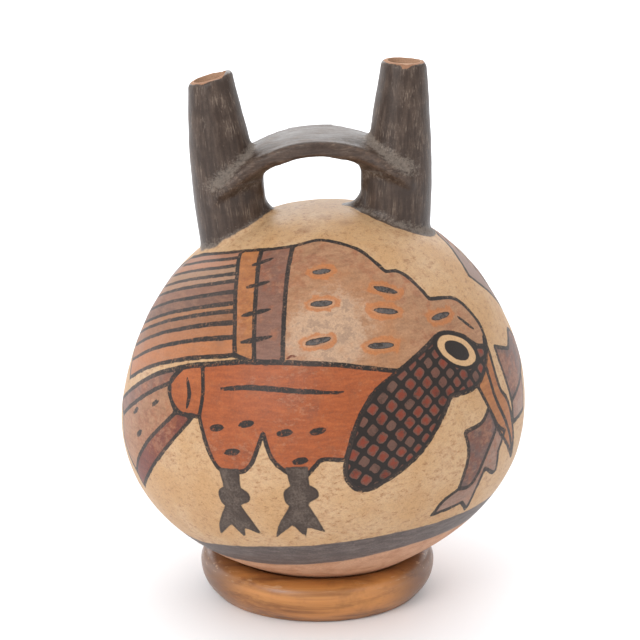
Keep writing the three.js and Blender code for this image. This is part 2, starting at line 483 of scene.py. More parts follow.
bird = {
    "wing": [wingTop, [(-90, 127), (-100, 120), (-105, 115)], [(-105, 115), (-99, 109)],
             [(-99, 109), (-92, 102), (-78, 87)], wingFoot, barOne],
    "wingTip": [[(-90, 127), (-91, 114), (-88, 100)],
                [(-88, 100), (-100, 100), (-110, 112), (-104, 124), (-90, 127)]],
    "orangeBar": [barOne, [(-48, 134), (-34, 135)], back(barTwo), [(-20, 103), (-27, 105)]],
    "plumBar": [barTwo, [(-34, 135), (-14, 136)], back(barThree), [(-11, 103), (-20, 103)]],
    "back": [barThree, [(-14, 136), (4, 137), (19, 135), (27, 132), (32, 126)],
             [(32, 126), (38, 125), (42, 120), (44, 115)],
             [(44, 115), (56, 112), (61, 102), (60, 94)], back(aboveEye), back(bellyTop)[:3]],
    "belly": [bellyTop, pouchLeft, [(6, 69), (0, 70), (-2, 68)], [(-2, 68), (-6, 64), (-13, 70), (-16, 80)],
              [(-16, 80), (-20, 68), (-25, 66), (-30, 68), (-36, 84)], back(rumpEdge)],
    "rump": [rumpEdge, [(-36, 84), (-43, 84), (-48, 88), (-50, 93), (-46, 99), (-38, 101)]],
    "pouch": [pouchLeft, [(6, 69), (6, 62), (10, 57), (18, 60), (28, 68), (39, 83)],
              [(39, 83), (49, 83), (55, 87), (60, 94)], back(aboveEye)],
    "upperBeak": [[(60, 97), (60, 80), (64, 70), (67, 49)], back(beakMiddle)],
    "lowerBeak": [beakMiddle, [(67, 49), (57, 63), (53, 74), (50, 83)]],
    "tailTop": [[(-50, 93), (-46, 99)], [(-46, 99), (-60, 93), (-84, 77)], [(-84, 77), (-79, 73)],
                back(tailLine)],
    "tailSide": [tailLine, [(-79, 73), (-77, 64), (-68, 55)], tailRed, [(-45, 84), (-48, 88), (-50, 93)]],
    "tailEdge": [back(tailRed), [(-68, 55), (-65, 50)], [(-65, 50), (-56, 60), (-46, 73), (-38, 84)]],
    "fishBack": [[(53, 74), (49, 70), (42, 69)], [(42, 69), (43, 61), (40, 48)], fishLine],
    "fishSide": [[(60, 62), (56, 56)], [(56, 56), (56, 48), (50, 52)], [(50, 52), (48, 46), (47, 36)],
                 [(47, 36), (43, 41)], [(43, 41), (32, 40)], [(32, 40), (35, 45), (40, 48)], fishLine],
    "fishFin": [[(64, 92), (73, 88)], [(73, 88), (82, 92), (88, 87)], [(88, 87), (84, 78), (66, 71)],
                [(66, 71), (64, 84), (64, 92)]],
    "fishTip": [[(66, 71), (80, 76)], [(80, 76), (78, 63)], [(78, 63), (66, 63)], [(66, 63), (66, 71)]],
}
leg = [[(-3, 67), (-2, 60)], [(-2, 60), (-4, 58), (-4, 54), (-3, 52)], [(-3, 52), (-7, 44), (-9, 38)],
       [(-9, 38), (-3, 44)], [(-3, 44), (0, 38)], [(0, 38), (1, 43)], [(1, 43), (6, 40)],
       [(6, 40), (4, 47), (2, 53)], [(2, 53), (5, 55), (5, 58), (3, 60)], [(3, 60), (3, 67)]]
legPlaces = [(-26, 0), (-7, 1)]         # degrees round, and mm higher
featherShares = [0, 0.08, 0.17, 0.26, 0.34, 0.45, 0.56, 0.63, 0.73, 0.85, 1]    # of the way down the wing


# A short stroke about its middle, as (curve, width in mm, how far the ends taper)
def dab(degrees, height, half, rise, width, taper=0.7):
    return [(degrees - half, height - rise), (degrees + half, height + rise)], width, taper


strokes = [     # dark lines and marks
    (back(bellyTop) + [(-46, 99), (-60, 93), (-84, 77)], 2.0, 0.2),
    ([(-30, 94), (-18, 95), (7, 92)], 2.0, 0.5),
    ([(-43, 96), (-41, 91), (-41, 86)], 1.9, 0.6),
    ([(52, 107), (57, 101)], 1.5, 0.5),
]
strokes += [dab(*place, half=6, rise=1.2, width=1.9, taper=0.9)
            for place in ((-29, 132), (-26, 126), (-23, 118), (-21, 110))]
strokes += [dab(*place, half=2.2, rise=0.4, width=2.6)
            for place in ((-30, 81), (-21, 83), (-25, 73), (-10, 80), (-1, 80), (-6, 70))]
strokes += [dab(*place, half=1.7, rise=1.4, width=2) for place in ((-55, 85), (-62, 72), (-66, 79))]
dashes = [dab(degrees, height, half=4, rise=rise, width=2.4, taper=0.6)     # each with an orange halo
          for degrees, height, rise in ((3, 129, 0), (2, 120, 0), (0, 109, 0.5), (28, 121, -1.5),
                                        (25, 115, -1), (20, 105, -0.5), (45, 109, 0))]
wornAndSheenSpot = {"middle": (4, 112), "end": (20, 112), "reach": 19}        # the back is worn pale here, and a painted highlight lies on it too
eye = {"middle": (46, 97), "end": (53, 92), "length": 23.5, "width": 13}
check = {"middle": (20, 85), "end": (23, 88), "along": 5.3, "across": 4.55, "bend": 115}
chips = [([(-10, 104), (-8, 105), (-6, 104)], 0.8, 0.3)]

outline = potOutline(120)
alongOutline = np.concatenate([[0], np.cumsum(np.linalg.norm(np.diff(outline, axis=0), axis=1))])


def curve(points, count=6):
    p = np.array(points, float)
    p = np.vstack([2 * p[0] - p[1], p, 2 * p[-1] - p[-2]])
    t = np.linspace(0, 1, count, endpoint=False)[:, None]
    spans = [b + 0.5 * t * (c - a + t * (2 * a - 5 * b + 4 * c - d + t * (3 * b - a - 3 * c + d)))
             for a, b, c, d in zip(p, p[1:], p[2:], p[3:])]
    return np.vstack(spans + [p[-2:-1]])


def drawnOn(points):
    return np.stack([np.radians(points[:, 0]), np.interp(points[:, 1], outline[:, 1], alongOutline)], 1)


# Where each point of the clay is on the drawing: degrees round, mm up the outline, and the girth there
def surfacePlace(points):
    radius = np.hypot(points[:, 0], points[:, 1])
    height = points[:, 2]
    nearest = np.empty(len(points), int)
    for start in range(0, len(points), 4000):
        part = slice(start, start + 4000)
        gap = (radius[part, None] - outline[:, 0]) ** 2 + (height[part, None] - outline[:, 1]) ** 2
        nearest[part] = np.argmin(gap, axis=1)
    along = np.gradient(outline, axis=0)
    along /= np.linalg.norm(along, axis=1)[:, None]
    off = np.stack([radius, height], 1) - outline[nearest]
    up = alongOutline[nearest] + np.sum(off * along[nearest], 1)
    outward = off[:, 0] * along[nearest, 1] - off[:, 1] * along[nearest, 0]
    return {"round": np.degrees(np.arctan2(points[:, 0], -points[:, 1])), "up": up,
            "girth": np.maximum(np.interp(up, alongOutline, outline[:, 0]), 1), "outward": outward}


far = 6.0   # mm; beyond this a shape's distance isn't needed


def nearCurve(place, path):
    across, up, girth = np.radians(place["round"]), place["up"], place["girth"]
    margin = far / girth
    low, high = path.min(0), path.max(0)
    return np.flatnonzero((across > low[0] - margin) & (across < high[0] + margin) &
                          (up > low[1] - far) & (up < high[1] + far))


# Distance to a path, and how far along it the nearest place is, from 0 to 1
def toPath(place, path, chosen):
    across, up, girth = (np.radians(place["round"])[chosen], place["up"][chosen], place["girth"][chosen])
    best, share = np.full(len(chosen), 1e3), np.zeros(len(chosen))
    count = len(path) - 1
    for i in range(count):
        ax, ay = (path[i, 0] - across) * girth, path[i, 1] - up
        dx, dy = (path[i + 1, 0] - path[i, 0]) * girth, path[i + 1, 1] - path[i, 1]
        t = np.clip(-(ax * dx + ay * dy) / np.maximum(dx * dx + dy * dy, 1e-9), 0, 1)
        gap = np.hypot(ax + t * dx, ay + t * dy)
        share = np.where(gap < best, (i + t) / count, share)
        best = np.minimum(best, gap)
    return best, share


# Signed distance to a closed shape in mm, positive inside
def shapeField(place, parts):
    path = drawnOn(np.vstack([curve(part) for part in parts]))
    path = np.vstack([path, path[:1]])
    field = np.full(len(place["up"]), -far)
    chosen = nearCurve(place, path)
    gap, _ = toPath(place, path, chosen)
    across, up = np.radians(place["round"])[chosen], place["up"][chosen]
    inside = np.zeros(len(chosen), bool)
    for (x0, y0), (x1, y1) in zip(path[:-1], path[1:]):
        if y0 != y1:
            crosses = ((y0 > up) != (y1 > up)) & (across < (x1 - x0) * (up - y0) / (y1 - y0) + x0)
            inside ^= crosses
    field[chosen] = np.clip(np.where(inside, gap, -gap), -far, far)
    return field


# A brush stroke: half its width less the distance from its middle
def strokeField(place, stroke):
    points, width, taper = stroke
    path = drawnOn(curve(points))
    field = np.full(len(place["up"]), -far)
    chosen = nearCurve(place, path)
    gap, share = toPath(place, path, chosen)
    half = width / 2 * (1 - taper * np.abs(2 * share - 1) ** 3)
    field[chosen] = np.maximum(half - gap, -far)
    return field


def strokesField(place, several):
    return np.max([strokeField(place, stroke) for stroke in several], axis=0)


# Coordinates in mm along and across a direction drawn from one place towards another
def localPlace(place, middle, end):
    (x0, y0), (x1, y1) = drawnOn(np.array([middle, end], float))
    girth = np.interp(y0, alongOutline, outline[:, 0])
    dx, dy = (x1 - x0) * girth, y1 - y0
    size = math.hypot(dx, dy)
    x, y = (np.radians(place["round"]) - x0) * girth, place["up"] - y0
    return (x * dx + y * dy) / size, (y * dx - x * dy) / size


# A line of the wing, lengthened straight past both ends: its level and its lean at each point
def wingLine(place, points):
    x, y = drawnOn(curve(points)).T
    order = np.argsort(x)
    x, y = x[order], y[order]
    ends = np.radians([-112, 0])
    first = y[0] + (y[4] - y[0]) / (x[4] - x[0]) * (ends[0] - x[0])
    last = y[-1] + (y[-5] - y[-1]) / (x[-5] - x[-1]) * (ends[1] - x[-1])
    x, y = np.concatenate([ends[:1], x, ends[1:]]), np.concatenate([[first], y, [last]])
    across = np.radians(place["round"])
    return np.interp(across, x, y), np.interp(across, x, np.gradient(y, x)) / place["girth"]


# Which feather band a point is in, counted down from the top with a fraction, and how wide the band is
def featherBands(place):
    (top, topLean), (foot, footLean) = wingLine(place, wingTop), wingLine(place, wingFoot)
    shares = np.array(featherShares)[:, None]
    levels, leans = top + shares * (foot - top), topLean + shares * (footLean - topLean)
    under = levels - place["up"]
    band = np.clip(np.sum(under > 0, axis=0) - 1, 0, len(featherShares) - 2)
    spot = np.arange(len(band))
    width = np.maximum(levels[band, spot] - levels[band + 1, spot], 0.3)
    thicker = np.interp(place["round"], [-85, -35], [1.2, 0.8])        # lines thin out towards the tips
    return band + under[band, spot] / width, width / np.hypot(1, leans[band, spot]) * thicker


layers = {      # shapes of one layer never touch each other, so each keeps a clean edge
    "layerA": {"plumBar": "plum", "rump": "rust", "fishBack": "dusk"},
    "layerB": {"orangeBar": "orange", "back": "tan", "tailTop": "plum", "tailEdge": "maroon",
               "lowerBeak": "orange", "fishFin": "dusk"},
    "layerC": {"belly": "brick", "upperBeak": "orange", "fishSide": "mauve"},
    "layerD": {"fishTip": "mauve", "tailSide": "sand"},
}


def linear(colour):
    share = np.array(colour) / 255
    return np.where(share <= 0.04045, share / 12.92, ((share + 0.055) / 1.055) ** 2.4)


def paintBird(place):
    fields = {name: shapeField(place, bird[name]) for name in ("wing", "wingTip", "pouch")}
    colours = {}
    for layer, shapes in layers.items():
        each = np.array([shapeField(place, bird[name]) for name in shapes])
        fields[layer] = each.max(0)
        colours[layer] = np.array([linear(paints[paint]) for paint in shapes.values()])[each.argmax(0)]
    legs = [[[(x + degrees, y + rise) for x, y in part] for part in leg] for degrees, rise in legPlaces]
    fields["legs"] = np.max([shapeField(place, each) for each in legs], axis=0)
    fields["marks"] = strokesField(place, strokes + dashes)
    fields["halo"] = strokesField(place, dashes)
    along, across = localPlace(place, wornAndSheenSpot["middle"], wornAndSheenSpot["end"])
    fields["rubbed"] = np.exp(-(np.hypot(along, across) / wornAndSheenSpot["reach"]) ** 2)
    fields["band"], fields["bandWidth"] = featherBands(place)
    along, across = localPlace(place, check["middle"], check["end"])
    fields["checkU"] = check["bend"] * np.arctan2(along, check["bend"] + across)
    fields["checkV"] = np.hypot(along, check["bend"] + across) - check["bend"]
    along, across = localPlace(place, eye["middle"], eye["end"])
    a, b = eye["length"] / 2, eye["width"] / 2
    fields["eye"] = np.maximum((1 - np.hypot(along / a, across / b)) * b, -far)
    return fields, colours


# Two birds face the same way round the pot, one on each side
def paintPot(points):
    place = surfacePlace(points)
    behind = dict(place)
    behind["round"] = (place["round"] + 360) % 360 - 180
    (fields, colours), (fieldsBehind, coloursBehind) = paintBird(place), paintBird(behind)
    solid = ["wing", "pouch", "layerA", "layerB", "layerC", "layerD", "legs", "marks"]
    useBehind = (np.max([fieldsBehind[key] for key in solid], axis=0) >
                 np.max([fields[key] for key in solid], axis=0))
    for key in fields:
        fields[key] = np.where(useBehind, fieldsBehind[key], fields[key])
    for key in colours:
        colours[key] = np.where(useBehind[:, None], coloursBehind[key], colours[key])
    return place, fields, colours


def addField(piece, name, values):
    kind, slot = ("FLOAT", "value") if values.ndim == 1 else ("FLOAT_VECTOR", "vector")
    if name.endswith("Colour"):
        kind, slot = "FLOAT_COLOR", "color"
        values = np.column_stack([values, np.ones(len(values))])
    field = piece.data.attributes.new(name, kind, "POINT")
    field.data.foreach_set(slot, np.ascontiguousarray(values, float).ravel())


# The spouts and bridge wear dark slip that runs a little way on to the crown
slipReach = {-1: 0.2, 1: 2.3}       # mm past the left and the right spout
slipTrim = 2.2          # so much less in front of the left web
slipFilling = 2.2       # how roundly it fills the corners
stains = [((-3, -22, 139.5), 3.2), ((4, -14, 141.5), 3.4), ((11.5, -19, 140.5), 3), ((-9, -27, 137.5), 2.6)]
bandTop = [(-180, 33), (-110, 30), (-47, 30), (-23, 34), (20, 36), (110, 32), (180, 33)]
bandFoot = [(-180, 23), (-110, 21), (-40, 22), (3, 24), (29, 27), (110, 24), (180, 23)]


# Distances in mm from points to the spouts and the strap, and 40 where they are far away
def gapsAt(points):
    high = points[:, 2] > 112
    gaps = {key: np.full(len(points), 40.0) for key in ("left", "right", "strap")}
    for key in gaps:
        gaps[key][high] = awayFrom[key](points[high])
    gaps["spout"] = np.minimum(gaps["left"], gaps["right"])
    return gaps


def slipField(points, place, gaps):
    blended = np.exp(-gaps["spout"] / slipFilling) + np.exp(-(gaps["strap"] + 1.6) / slipFilling)
    onTop = -slipFilling * np.log(np.maximum(blended, 1e-9))
    reach = np.where(points[:, 0] < 0, slipReach[-1], slipReach[1])
    besideLeft = ease(points[:, 0], -36, -28) * (1 - ease(points[:, 0], -22, -15)) * (points[:, 1] < 0)
    return np.maximum(reach - slipTrim * besideLeft - onTop, place["outward"] - 1.4)


# The mouths are worn down to the bare clay, with a nick in the right one
def bareField(points, place):
    side = np.where(points[:, 0] < 0, -1, 1)
    fromAxis = points[:, 0] - side * spoutAxis(points[:, 2])
    share = np.clip((points[:, 2] - pot["height"]) / spouts["rise"], 0, 1)
    boreFoot, boreMouth = (spouts[end + "Radius"] - spouts[end + "Wall"] for end in ("foot", "mouth"))
    inner = boreFoot + share * (boreMouth - boreFoot)
    mouth = pot["height"] + spouts["rise"]
    worn = 1.5 - 1.6 * ease(fromAxis, 4.5, 6.5) * (side < 0)
    nick = np.exp(-((fromAxis - 0.6) / 1.7) ** 2) * (side > 0) * (points[:, 1] < 0)
    worn += 1.2 * nick * ease(points[:, 2], mouth - 2.4, mouth - 0.8)
    bare = np.where(points[:, 2] > 124, inner + worn - np.hypot(fromAxis, points[:, 1]), -9)
    return np.maximum(bare, -2.5 - place["outward"])


# Pale grey in the saddles and round the spouts' feet: dust, and a painted sheen
def dustAndSheenField(points, place, gaps):
    inSaddle = (np.exp(-(gaps["spout"] / 3) ** 2 - (gaps["strap"] / 3.6) ** 2) *
                ease(points[:, 2], 149, 158) * ease(np.abs(points[:, 0]), 15, 22))
    foot = np.maximum(np.abs(place["outward"]), gaps["spout"])
    return np.maximum(inSaddle, 0.85 * np.exp(-(foot / 3.2) ** 2))


# Wear along the strap's upper edges
def rimField(points, gaps):
    strapEdge = bridge["width"] / 2 * (1 + bridge["saddle"] * ease(np.abs(points[:, 0]), 17, 29)) - 0.5
    topRim = np.exp(-((np.abs(points[:, 1]) - strapEdge) / 0.5) ** 2)
    return topRim * (gaps["strap"] < 0.8) * (gaps["spout"] > 1) * ease(points[:, 2], 150, 158)


# Coordinates for the patterns: along each spout and, for the burnishing, along the strap
def patternFrames(points, gaps):
    upright = points.copy()
    onSpout = gaps["spout"] < 2
    lean = np.sign(points[:, 0]) * (spoutAxis(points[:, 2]) - spouts["footSpread"])
    upright[onSpout, 0] -= lean[onSpout]
    burnish = upright.copy()
    onStrap = (gaps["strap"] < gaps["spout"]) & (points[:, 2] > pot["height"] + bridge["rise"] - 14)
    burnish[onStrap] = upright[onStrap][:, [1, 2, 0]]
    return upright, burnish


def markClay(piece):
    points = readPoints(piece)
    place, fields, colours = paintPot(points)
    gaps = gapsAt(points)
    fields["slip"] = slipField(points, place, gaps)
    fields["bare"] = bareField(points, place)
    fields["rimWear"] = rimField(points, gaps)
    fields["dusty"] = dustAndSheenField(points, place, gaps)
    fields["chip"] = strokesField(place, chips)
    fields["stain"] = np.max([size - np.linalg.norm(points - spot, axis=1) for spot, size in stains], axis=0)
    for name, edge in (("bandTop", bandTop), ("bandFoot", bandFoot)):
        degrees, heights = zip(*edge)
        fields[name] = np.interp(place["round"], degrees, heights) - points[:, 2]
    fields["clayFrame"], fields["burnish"] = patternFrames(points, gaps)
    for name, values in fields.items():
        addField(piece, name, values)
    for name, values in colours.items():
        addField(piece, name + "Colour", values)


markClay(vessel)
writePoints(vessel, placePot(readPoints(vessel)))
only(vessel)
bpy.ops.object.shade_smooth_by_angle(angle=math.radians(40))
print("painting laid out")


# A number on its way between nodes, so that shader maths reads as plain maths
class Wire:
    def __init__(self, finish, socket):
        self.finish = finish
        self.socket = socket

    def calc(self, operation, *values):
        return self.finish.add("ShaderNodeMath", {"operation": operation}, values)

    def __add__(self, other):
        return self.calc("ADD", self, other)

    def __radd__(self, other):
        return self.calc("ADD", other, self)

    def __sub__(self, other):
        return self.calc("SUBTRACT", self, other)

    def __rsub__(self, other):
        return self.calc("SUBTRACT", other, self)

    def __mul__(self, other):
        return self.calc("MULTIPLY", self, other)

    def __rmul__(self, other):
        return self.calc("MULTIPLY", other, self)

    def __truediv__(self, other):
        return self.calc("DIVIDE", self, other)

    def __pow__(self, other):
        return self.calc("POWER", self, other)

    def __abs__(self):
        return self.calc("ABSOLUTE", self)

    def whole(self):
        return self.calc("FLOOR", self)

    def most(self, other):
        return self.calc("MAXIMUM", self, other)


def tone(colour):
    return (*linear(colour), 1)


# A material and its nodes
class Finish:
    def __init__(self, name):
        self.material = bpy.data.materials.new(name)
        self.material.use_nodes = True
        self.tree = self.material.node_tree
        self.shader = self.tree.nodes["Principled BSDF"]

    def add(self, kind, settings={}, inputs=(), output=0):
        node = self.tree.nodes.new(kind)
        for key, value in settings.items():
            if key == "stops":
                stops = node.color_ramp.elements
                while len(stops) < len(value):
                    stops.new(0.5)
                for stop, (position, colour) in zip(stops, value):
                    stop.position = position
                    stop.color = colour
            elif key == "steps":
                node.color_ramp.interpolation = value
            else:
                setattr(node, key, value)
        pairs = inputs.items() if isinstance(inputs, dict) else enumerate(inputs)
        for key, value in pairs:
            if isinstance(value, Wire):
                self.tree.links.new(value.socket, node.inputs[key])
            else:
                node.inputs[key].default_value = value
        return Wire(self, node.outputs[output])

    def field(self, name, output=2):
        return self.add("ShaderNodeAttribute", {"attribute_name": name}, output=output)

    def noise(self, scale, where, detail=3, rough=0.55, twist=0, output=0):
        return self.add("ShaderNodeTexNoise", {}, {"Vector": where, "Scale": scale, "Detail": detail,
                                                   "Roughness": rough, "Distortion": twist}, output)

    def stretch(self, where, scale, turnBy=(0, 0, 0)):
        return self.add("ShaderNodeMapping", {}, {"Vector": where, "Scale": scale, "Rotation": turnBy})

    def step(self, value, low, high):
        return self.add("ShaderNodeMapRange", {"interpolation_type": "SMOOTHSTEP"},
                        {"Value": value, "From Min": low, "From Max": high})

    def mix(self, share, under, over, blend="MIX"):
        return self.add("ShaderNodeMix", {"data_type": "RGBA", "blend_type": blend},
                        {0: share, 6: under, 7: over}, 2)

    def tint(self, under, share, colour):
        return self.mix(share, under, tone(colour))

    def use(self, **inputs):
        for key, value in inputs.items():
            socket = self.shader.inputs[key.replace("_", " ")]
            if isinstance(value, Wire):
                self.tree.links.new(value.socket, socket)
            else:
                socket.default_value = value

    def bump(self, height, distance, strength):
        self.use(Normal=self.add("ShaderNodeBump", {}, {"Height": height, "Distance": distance,
                                                        "Strength": strength}))


clayLook = {
    "edgeSoft": 0.14,       # mm over which a painted edge fades
    "wobble": 0.6,          # mm that a painted edge wanders
    "inkWidth": 1.6,        # mm
    "netWidth": 1.3,
    "gloss": 0.34,
    "shine": 0.36,
}
wear = {        # what age, dirt and the brush do to the paints
    "buff": (204, 160, 112),
    "buffCloud": (180, 130, 88),
    "buffBlotch": (188, 142, 100),
    "buffScuff": (162, 112, 72),
    "buffSpeck": (142, 100, 66),
    "buffPale": (232, 200, 162),
    "buffPepper": (118, 80, 54),
    "brushed": (226, 222, 218),
    "warm": (206, 128, 74),
    "deep": (138, 74, 48),
    "pepper": (110, 74, 56),
    "scuff": (130, 80, 56),
    "thin": (196, 146, 112),
    "dry": (214, 178, 146),
    "rubbed": (206, 172, 142),
    "rubbedEdge": (178, 118, 72),
    "greyed": (142, 116, 98),
    "featherStreak": (176, 128, 98),
    "featherGrain": (120, 86, 68),
    "inkFaded": (64, 50, 43),
    "dashFaded": (104, 97, 94),
    "slateFaded": (102, 87, 76),
    "chip": (112, 52, 30),
    "stain": (150, 102, 66),
    "clayBlotch": (190, 137, 102),
    "umberRubbed": (88, 71, 60),
    "umberScratch": (146, 128, 112),
    "umberRim": (128, 100, 82),
    "umberSpeck": (116, 98, 84),
    "gritDark": (214, 214, 214),
    "gritLight": (241, 241, 241),
}
white = (255, 255, 255)
netPaints = {"pale": (110, 77, 64), "red": (134, 56, 34)}
eyeWhite = (214, 172, 126)
bandPaints = {"dark": (88, 76, 72), "light": (116, 103, 98)}
mouthPaints = {"light": (182, 138, 108), "dark": (166, 122, 94)}

# What the clay's patterns share
clay = Finish("slipped_clay")
where = clay.field("clayFrame", 1)
soft = clayLook["edgeSoft"]
hand = clay.noise(0.32, where, 2)                       # the hand's wander, about 3 mm across
broad = clay.noise(0.045, where, 4, 0.6)                # clouds about 20 mm across
grain = clay.noise(1.3, where, 4, 0.7)                  # specks under a millimetre
blotch = clay.noise(0.16, where, 3, 0.6)
streak = clay.noise(0.5, clay.stretch(where, (0.3, 0.3, 1.6)), 3, 0.6)    # brushed across
scuff = clay.noise(0.55, clay.stretch(where, (0.75, 0.75, 1.3), (0.4, 0.5, 0)), 5, 0.75)
pepper = clay.noise(3.2, where, 2, 0.6)
wander = (hand - 0.5) * clayLook["wobble"]
halo = clay.field("halo")


def inside(value, edge=0.0):
    return clay.step(value + wander, edge - soft, edge + soft)


# The ground: buff slip with clouds, brown scuffs and specks
def paintGround():
    ground = clay.mix(clay.step(broad, 0.35, 0.7), tone(wear["buff"]), tone(paints["cream"]))
    ground = clay.tint(ground, clay.step(blotch, 0.5, 0.75) * 0.4, wear["buffBlotch"])
    ground = clay.tint(ground, clay.step(scuff, 0.52, 0.66) * 0.55, wear["buffScuff"])
    ground = clay.tint(ground, clay.step(broad + (scuff - 0.5) * 1.1, 0.52, 0.74) * 0.38, wear["buffCloud"])
    ground = clay.tint(ground, clay.step(grain, 0.59, 0.7) * 0.6, wear["buffSpeck"])
    ground = clay.tint(ground, clay.step(1 - grain, 0.62, 0.74) * 0.3, wear["buffPale"])
    return clay.tint(ground, clay.step(pepper + (scuff - 0.5) * 0.8, 0.62, 0.74) * 0.55, wear["buffPepper"])


# One layer of flat, worn paint
def layPaint(colour, name, field):
    brushed = clay.mix(clay.step(streak, 0.3, 0.7), tone(wear["brushed"]), tone(white))
    paint = clay.mix(1.0, clay.field(name + "Colour", 0), brushed, "MULTIPLY")
    paint = clay.tint(paint, clay.step(blotch, 0.5, 0.75) * 0.3, wear["warm"])
    paint = clay.tint(paint, clay.step(broad + (hand - 0.5) * 0.6, 0.46, 0.68) * 0.5, wear["deep"])
    paint = clay.tint(paint, clay.step(pepper + (scuff - 0.5) * 0.6, 0.62, 0.76) * 0.3, wear["pepper"])
    paint = clay.tint(paint, clay.step(scuff, 0.55, 0.7) * 0.4, wear["scuff"])
    paint = clay.tint(paint, clay.step(1 - scuff + (broad - 0.5), 0.54, 0.72) * 0.3, wear["thin"])
    paint = clay.tint(paint, clay.step(1 - grain, 0.6, 0.75) * 0.16, wear["dry"])
    return clay.mix(inside(field), colour, paint)


# The back is rubbed paler in its middle and carries a painted highlight there, with orange halos round its
# dashes
def wearBack(colour, onBack):
    rubbed = clay.field("rubbed")
    # paler in the middle of the back: wear, and a painted highlight
    paleWearAndSheen = clay.step(rubbed + (blotch - 0.5) * 1.2 + (scuff - 0.5), 0.35, 0.8)
    colour = clay.tint(colour, paleWearAndSheen * onBack * 0.7, wear["rubbed"])
    rubbedEdge = clay.step(rubbed, 0.02, 0.2) * (1 - clay.step(rubbed + (hand - 0.5) * 0.4, 0.25, 0.7))
    colour = clay.tint(colour, rubbedEdge * clay.step(blotch, 0.3, 0.6) * onBack * 0.4, wear["rubbedEdge"])
    greyed = clay.step(rubbed * 0.5 + blotch + (scuff - 0.5) * 0.8, 0.92, 1.0) * 0.45
    colour = clay.tint(colour, greyed * onBack, wear["greyed"])
    ringed = (clay.step(halo + (blotch - 0.5) * 4 + (hand - 0.5) * 2, -2.6, -1.5) *
              (1 - clay.step(halo, -1.1, -0.3) * 0.5))
    return clay.tint(colour, ringed * onBack * 0.8, paints["halo"])


# The wing's feathers: a band of slip between each two lines, and a plain tip
def paintWing(colour, wing):
    band, wingTip = clay.field("band"), clay.field("wingTip")
    stops = [(i / len(stripePaints), tone(paint)) for i, paint in enumerate(stripePaints)]
    feather = clay.add("ShaderNodeValToRGB", {"steps": "CONSTANT", "stops": stops},
                       [band / len(stripePaints)])
    feather = clay.tint(feather, clay.step(streak, 0.35, 0.75) * 0.4, wear["featherStreak"])
    feather = clay.tint(feather, clay.step(grain + (blotch - 0.5), 0.55, 0.8) * 0.4, wear["featherGrain"])
    feather = clay.tint(feather, clay.step(wingTip, -0.5, 0.5), paints["tip"])
    inWing = inside(wing)
    nearLine = abs(band - (band + 0.5).whole()) * clay.field("bandWidth")
    lines = clay.step(clayLook["inkWidth"] / 2 + wander * 0.9 - nearLine, -soft, soft) * inWing
    return clay.mix(inWing, colour, feather), lines * clay.step(wingTip, 0.5, -0.5)


# The pouch's net: dark lines, and squares of pale paint dabbed with red
def paintPouch(colour, pouch):
    u = clay.field("checkU") / check["along"] + (hand - 0.5) * 0.34 + 0.5
    v = clay.field("checkV") / check["across"] + (blotch - 0.5) * 0.34 + 0.5
    cell = clay.add("ShaderNodeCombineXYZ", {}, [u.whole(), v.whole(), 0.5])
    lot = clay.add("ShaderNodeTexWhiteNoise", {}, {"Vector": cell})
    offU, offV = abs(u - u.whole() - 0.5), abs(v - v.whole() - 0.5)
    corner = (offU ** 4 + offV ** 4) ** 0.25
    squareHalf = 0.5 - clayLook["netWidth"] / check["across"] / 2 + (lot - 0.5) * 0.06
    dabbed = clay.step(lot, 0.1, 0.5) * clay.step(corner + (grain - 0.5) * 0.7, 0.4, 0.12)
    square = clay.mix(dabbed, tone(netPaints["pale"]), tone(netPaints["red"]))
    square = clay.tint(square, clay.step(blotch + (grain - 0.5) * 0.9, 0.48, 0.76) * 0.55, paints["ink"])
    inSquare = clay.step(squareHalf - corner + (hand - 0.5) * 0.1, -0.03, 0.03) * clay.step(pouch, 0.9, 1.5)
    return clay.mix(inside(pouch), colour, clay.mix(inSquare, tone(paints["ink"]), square))


# Lines round every shape, and the dashes and marks
def drawLines(colour, ink, shapes):
    line = clayLook["inkWidth"] / 2
    for field in shapes:
        ink = ink.most(clay.step(line + wander * 0.7 - abs(field + wander), -soft, soft))
    ink = ink.most(inside(clay.field("marks")))
    worn = clay.step(grain + scuff, 1.02, 1.26) * 0.5
    inkFaded = clay.step(broad + (grain - 0.5) * 0.4, 0.4, 0.7)
    inkTone = clay.mix(inkFaded, tone(paints["ink"]), tone(wear["inkFaded"]))
    colour = clay.mix(ink * (1 - worn), colour, inkTone)
    dashFaded = inside(halo, 0.25) * clay.step(blotch + (grain - 0.5) * 0.6, 0.3, 0.6)
    return clay.tint(colour, dashFaded * 0.7, wear["dashFaded"]), ink


def paintEyeAndLegs(colour):
    eyeField = clay.field("eye")
    look = clay.mix(inside(eyeField, 1.3), tone(paints["ink"]), tone(eyeWhite))
    look = clay.tint(look, inside(eyeField, 3.15), paints["ink"])
    colour = clay.mix(clay.step(eyeField + wander, -soft, soft), colour, look)
    slateFaded = clay.step(blotch + (grain - 0.5) * 0.8, 0.4, 0.75)
    slate = clay.mix(slateFaded, tone(paints["slate"]), tone(wear["slateFaded"]))
    legs = clay.field("legs")
    colour = clay.mix(inside(legs), colour, slate)
    return clay.tint(colour, clay.step(0.5 - abs(legs - 0.3), -soft, soft) * 0.3, paints["ink"])


# A chip in the paint, and brown stains on the crown
def chipAndStain(colour):
    chip = clay.step(clay.field("chip") + wander, -0.1, 0.2)
    colour = clay.tint(colour, chip, wear["chip"])
    stain = clay.step(clay.field("stain") + (grain - 0.5) * 6 + (blotch - 0.5) * 5, 0, 2) * 0.38
    return clay.tint(colour, stain, wear["stain"]), chip


